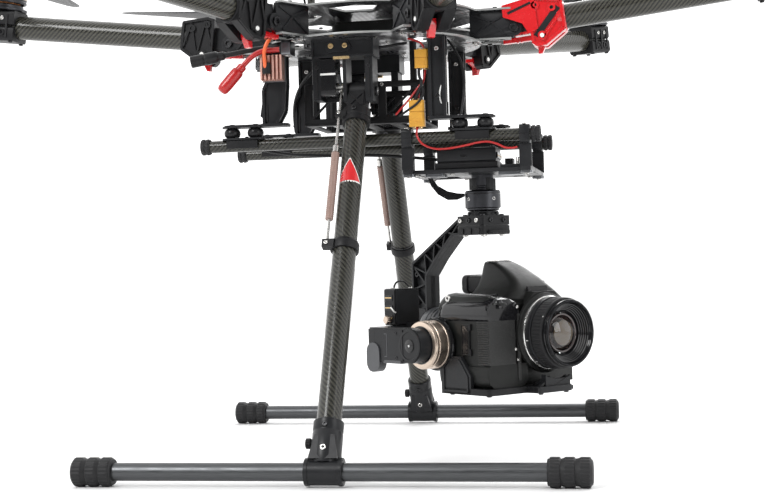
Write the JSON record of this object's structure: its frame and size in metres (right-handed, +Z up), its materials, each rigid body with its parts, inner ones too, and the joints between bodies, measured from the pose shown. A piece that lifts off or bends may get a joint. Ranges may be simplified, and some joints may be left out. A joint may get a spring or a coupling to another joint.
{
  "type": "hexacopter drone",
  "caption": "Folding multirotor camera drone on retractable skid legs, with a hanging three-axis gimbal that carries a reflex camera.",
  "frame": {"origin": "on the ground under the centre of the body, at the bottom centre of the bounding box", "axes": "+X forward along the skids, +Y to the drone's left, +Z up"},
  "size_m": [0.8538, 0.8867, 0.5159],
  "materials": {
    "carbon_tube": "glossy twill carbon tube",
    "carbon_plate": "glossy carbon plate",
    "blade_carbon": "satin carbon-filled blade",
    "black_plastic": "moulded glass-filled plastic",
    "dark_metal": "black anodised aluminium",
    "champagne_metal": "champagne anodised, brushed",
    "screw_steel": "machined screw heads",
    "red_plastic": "glossy red moulding",
    "rubber": "soft black rubber",
    "grey_satin": "satin grey coated tube",
    "connector_ochre": "ochre nylon",
    "lead_black": "silicone sleeve",
    "lead_red": "silicone sleeve",
    "camera_black": "fine stippled coating"
  },
  "bodies": {
    "airframe": {"centre_plates": "carbon_plate", "arm_brackets": "black_plastic", "frame_fasteners": "screw_steel", "gps_antenna": "black_plastic", "retract_mounts": "black_plastic", "gimbal_rods": "carbon_tube", "damper_balls": "rubber", "hanger_brackets": "black_plastic", "equipment_tray": "black_plastic", "control_electronics": "dark_metal", "power_wiring": "connector_ochre", "lead_black": "lead_black", "lead_red": "lead_red", "plug_black": "lead_black", "plug_red": "lead_red", "gimbal_plate": "dark_metal", "gimbal_controller": "black_plastic", "pan_motor": "dark_metal"},
    "arm_front": {"arm_0": "carbon_tube"},
    "rotor_front": {"rotor_0": "dark_metal"},
    "latch_front": {"latch_0": "red_plastic"},
    "blade_front_a": {"blade_0_a": "blade_carbon"},
    "blade_front_b": {"blade_0_b": "blade_carbon"},
    "arm_front_left": {"arm_1": "carbon_tube"},
    "rotor_front_left": {"rotor_1": "dark_metal"},
    "latch_front_left": {"latch_1": "red_plastic"},
    "blade_front_left_a": {"blade_1_a": "blade_carbon"},
    "blade_front_left_b": {"blade_1_b": "blade_carbon"},
    "arm_rear_left": {"arm_2": "carbon_tube"},
    "rotor_rear_left": {"rotor_2": "dark_metal"},
    "latch_rear_left": {"latch_2": "red_plastic"},
    "blade_rear_left_a": {"blade_2_a": "blade_carbon"},
    "blade_rear_left_b": {"blade_2_b": "blade_carbon"},
    "arm_rear": {"arm_3": "carbon_tube"},
    "rotor_rear": {"rotor_3": "dark_metal"},
    "latch_rear": {"latch_3": "red_plastic"},
    "blade_rear_a": {"blade_3_a": "blade_carbon"},
    "blade_rear_b": {"blade_3_b": "blade_carbon"},
    "arm_rear_right": {"arm_4": "carbon_tube"},
    "rotor_rear_right": {"rotor_4": "dark_metal"},
    "latch_rear_right": {"latch_4": "red_plastic"},
    "blade_rear_right_a": {"blade_4_a": "blade_carbon"},
    "blade_rear_right_b": {"blade_4_b": "blade_carbon"},
    "arm_front_right": {"arm_5": "carbon_tube"},
    "rotor_front_right": {"rotor_5": "dark_metal"},
    "latch_front_right": {"latch_5": "red_plastic"},
    "blade_front_right_a": {"blade_5_a": "blade_carbon"},
    "blade_front_right_b": {"blade_5_b": "blade_carbon"},
    "leg_left": {"leg_left": "carbon_tube", "skid_left": "grey_satin"},
    "leg_right": {"leg_right": "carbon_tube", "skid_right": "grey_satin"},
    "pan_stage": {"gimbal_arm": "dark_metal"},
    "roll_stage": {"roll_frame": "dark_metal"},
    "camera_stage": {"tilt_tray": "champagne_metal", "camera_body": "camera_black", "lens": "camera_black"},
    "focus_ring": {"focus_ring": "rubber"},
    "mode_dial": {"mode_dial": "camera_black"},
    "shutter_button": {"shutter_button": "camera_black"}
  },
  "joints": [
    {"name": "fold_front", "type": "hinge", "parent": "airframe", "child": "arm_front", "pos_m": [0.14846, 0, 0.42293], "axis": [0, 1, 0], "range_deg": [0, 50]},
    {"name": "latch_lever_front", "type": "hinge", "parent": "arm_front", "child": "latch_front", "pos_m": [0.17613, 0, 0.41002], "axis": [0, -1, 0], "range_deg": [0, 25], "stiffness_Nm_per_rad": 0.05, "springref_deg": -17.19},
    {"name": "spin_front", "type": "hinge", "parent": "arm_front", "child": "rotor_front", "pos_m": [0.4004, 0, 0.49637], "axis": [-0.1149, 0, 0.9934], "continuous": true},
    {"name": "blade_fold_front_a", "type": "hinge", "parent": "rotor_front", "child": "blade_front_a", "pos_m": [0.399, 0.013, 0.50849], "axis": [-0.1149, 0, 0.9934], "range_deg": [0, 80]},
    {"name": "blade_fold_front_b", "type": "hinge", "parent": "rotor_front", "child": "blade_front_b", "pos_m": [0.399, -0.013, 0.50849], "axis": [0.1149, 0, -0.9934], "range_deg": [0, 80]},
    {"name": "fold_front_left", "type": "hinge", "parent": "airframe", "child": "arm_front_left", "pos_m": [0.07423, 0.12857, 0.42293], "axis": [-0.866, 0.5, 0], "range_deg": [0, 88]},
    {"name": "latch_lever_front_left", "type": "hinge", "parent": "arm_front_left", "child": "latch_front_left", "pos_m": [0.08806, 0.15253, 0.41002], "axis": [0.866, -0.5, 0], "range_deg": [0, 25], "stiffness_Nm_per_rad": 0.05, "springref_deg": -17.19},
    {"name": "spin_front_left", "type": "hinge", "parent": "arm_front_left", "child": "rotor_front_left", "pos_m": [0.2002, 0.34676, 0.49637], "axis": [-0.0575, -0.0995, 0.9934], "continuous": true},
    {"name": "blade_fold_front_left_a", "type": "hinge", "parent": "rotor_front_left", "child": "blade_front_left_a", "pos_m": [0.18824, 0.35204, 0.50849], "axis": [-0.0575, -0.0995, 0.9934], "range_deg": [0, 80]},
    {"name": "blade_fold_front_left_b", "type": "hinge", "parent": "rotor_front_left", "child": "blade_front_left_b", "pos_m": [0.21076, 0.33904, 0.50849], "axis": [0.0575, 0.0995, -0.9934], "range_deg": [0, 80]},
    {"name": "fold_rear_left", "type": "hinge", "parent": "airframe", "child": "arm_rear_left", "pos_m": [-0.07423, 0.12857, 0.42293], "axis": [-0.866, -0.5, 0], "range_deg": [0, 88]},
    {"name": "latch_lever_rear_left", "type": "hinge", "parent": "arm_rear_left", "child": "latch_rear_left", "pos_m": [-0.08806, 0.15253, 0.41002], "axis": [0.866, 0.5, 0], "range_deg": [0, 25], "stiffness_Nm_per_rad": 0.05, "springref_deg": -17.19},
    {"name": "spin_rear_left", "type": "hinge", "parent": "arm_rear_left", "child": "rotor_rear_left", "pos_m": [-0.2002, 0.34676, 0.49637], "axis": [0.0575, -0.0995, 0.9934], "continuous": true},
    {"name": "blade_fold_rear_left_a", "type": "hinge", "parent": "rotor_rear_left", "child": "blade_rear_left_a", "pos_m": [-0.21076, 0.33904, 0.50849], "axis": [0.0575, -0.0995, 0.9934], "range_deg": [0, 80]},
    {"name": "blade_fold_rear_left_b", "type": "hinge", "parent": "rotor_rear_left", "child": "blade_rear_left_b", "pos_m": [-0.18824, 0.35204, 0.50849], "axis": [-0.0575, 0.0995, -0.9934], "range_deg": [0, 80]},
    {"name": "fold_rear", "type": "hinge", "parent": "airframe", "child": "arm_rear", "pos_m": [-0.14846, 0, 0.42293], "axis": [0, -1, 0], "range_deg": [0, 50]},
    {"name": "latch_lever_rear", "type": "hinge", "parent": "arm_rear", "child": "latch_rear", "pos_m": [-0.17613, 0, 0.41002], "axis": [0, 1, 0], "range_deg": [0, 25], "stiffness_Nm_per_rad": 0.05, "springref_deg": -17.19},
    {"name": "spin_rear", "type": "hinge", "parent": "arm_rear", "child": "rotor_rear", "pos_m": [-0.4004, 0, 0.49637], "axis": [0.1149, 0, 0.9934], "continuous": true},
    {"name": "blade_fold_rear_a", "type": "hinge", "parent": "rotor_rear", "child": "blade_rear_a", "pos_m": [-0.399, -0.013, 0.50849], "axis": [0.1149, 0, 0.9934], "range_deg": [0, 80]},
    {"name": "blade_fold_rear_b", "type": "hinge", "parent": "rotor_rear", "child": "blade_rear_b", "pos_m": [-0.399, 0.013, 0.50849], "axis": [-0.1149, 0, -0.9934], "range_deg": [0, 80]},
    {"name": "fold_rear_right", "type": "hinge", "parent": "airframe", "child": "arm_rear_right", "pos_m": [-0.07423, -0.12857, 0.42293], "axis": [0.866, -0.5, 0], "range_deg": [0, 88]},
    {"name": "latch_lever_rear_right", "type": "hinge", "parent": "arm_rear_right", "child": "latch_rear_right", "pos_m": [-0.08806, -0.15253, 0.41002], "axis": [-0.866, 0.5, 0], "range_deg": [0, 25], "stiffness_Nm_per_rad": 0.05, "springref_deg": -17.19},
    {"name": "spin_rear_right", "type": "hinge", "parent": "arm_rear_right", "child": "rotor_rear_right", "pos_m": [-0.2002, -0.34676, 0.49637], "axis": [0.0575, 0.0995, 0.9934], "continuous": true},
    {"name": "blade_fold_rear_right_a", "type": "hinge", "parent": "rotor_rear_right", "child": "blade_rear_right_a", "pos_m": [-0.18824, -0.35204, 0.50849], "axis": [0.0575, 0.0995, 0.9934], "range_deg": [0, 80]},
    {"name": "blade_fold_rear_right_b", "type": "hinge", "parent": "rotor_rear_right", "child": "blade_rear_right_b", "pos_m": [-0.21076, -0.33904, 0.50849], "axis": [-0.0575, -0.0995, -0.9934], "range_deg": [0, 80]},
    {"name": "fold_front_right", "type": "hinge", "parent": "airframe", "child": "arm_front_right", "pos_m": [0.07423, -0.12857, 0.42293], "axis": [0.866, 0.5, 0], "range_deg": [0, 88]},
    {"name": "latch_lever_front_right", "type": "hinge", "parent": "arm_front_right", "child": "latch_front_right", "pos_m": [0.08806, -0.15253, 0.41002], "axis": [-0.866, -0.5, 0], "range_deg": [0, 25], "stiffness_Nm_per_rad": 0.05, "springref_deg": -17.19},
    {"name": "spin_front_right", "type": "hinge", "parent": "arm_front_right", "child": "rotor_front_right", "pos_m": [0.2002, -0.34676, 0.49637], "axis": [-0.0575, 0.0995, 0.9934], "continuous": true},
    {"name": "blade_fold_front_right_a", "type": "hinge", "parent": "rotor_front_right", "child": "blade_front_right_a", "pos_m": [0.21076, -0.33904, 0.50849], "axis": [-0.0575, 0.0995, 0.9934], "range_deg": [0, 80]},
    {"name": "blade_fold_front_right_b", "type": "hinge", "parent": "rotor_front_right", "child": "blade_front_right_b", "pos_m": [0.18824, -0.35204, 0.50849], "axis": [0.0575, -0.0995, -0.9934], "range_deg": [0, 80]},
    {"name": "retract_left", "type": "hinge", "parent": "airframe", "child": "leg_left", "pos_m": [0, 0.066, 0.36], "axis": [1, 0, 0], "range_deg": [0, 58]},
    {"name": "retract_right", "type": "hinge", "parent": "airframe", "child": "leg_right", "pos_m": [0, -0.066, 0.36], "axis": [-1, 0, 0], "range_deg": [0, 58]},
    {"name": "gimbal_pan", "type": "hinge", "parent": "airframe", "child": "pan_stage", "pos_m": [0.111, 0, 0.241], "axis": [0, 0, 1], "range_deg": [-320, 320]},
    {"name": "gimbal_roll", "type": "hinge", "parent": "pan_stage", "child": "roll_stage", "pos_m": [0.06504, 0.03857, 0.12], "axis": [0.766, -0.6428, 0], "range_deg": [-35, 35]},
    {"name": "gimbal_tilt", "type": "hinge", "parent": "roll_stage", "child": "camera_stage", "pos_m": [0.06941, -0.06823, 0.111], "axis": [0.6428, 0.766, 0], "range_deg": [-30, 90]},
    {"name": "focus_turn", "type": "hinge", "parent": "camera_stage", "child": "focus_ring", "pos_m": [0.19143, -0.06749, 0.12], "axis": [0.766, -0.6428, 0], "range_deg": [0, 120]},
    {"name": "mode_dial_turn", "type": "hinge", "parent": "camera_stage", "child": "mode_dial", "pos_m": [0.16024, 0.02134, 0.164], "axis": [0, 0, 1], "range_deg": [-150, 150]},
    {"name": "shutter_press", "type": "slide", "parent": "camera_stage", "child": "shutter_button", "axis": [0, 0, -1], "range_m": [0, 0.0015], "stiffness_N_per_m": 400, "springref_m": -0.001}
  ],
  "couplings": [
    {"joint": "blade_fold_front_b", "follows": "blade_fold_front_a", "ratio": 1},
    {"joint": "blade_fold_front_left_b", "follows": "blade_fold_front_left_a", "ratio": 1},
    {"joint": "blade_fold_rear_left_b", "follows": "blade_fold_rear_left_a", "ratio": 1},
    {"joint": "blade_fold_rear_b", "follows": "blade_fold_rear_a", "ratio": 1},
    {"joint": "blade_fold_rear_right_b", "follows": "blade_fold_rear_right_a", "ratio": 1},
    {"joint": "blade_fold_front_right_b", "follows": "blade_fold_front_right_a", "ratio": 1},
    {"joint": "retract_right", "follows": "retract_left", "ratio": 1}
  ]
}
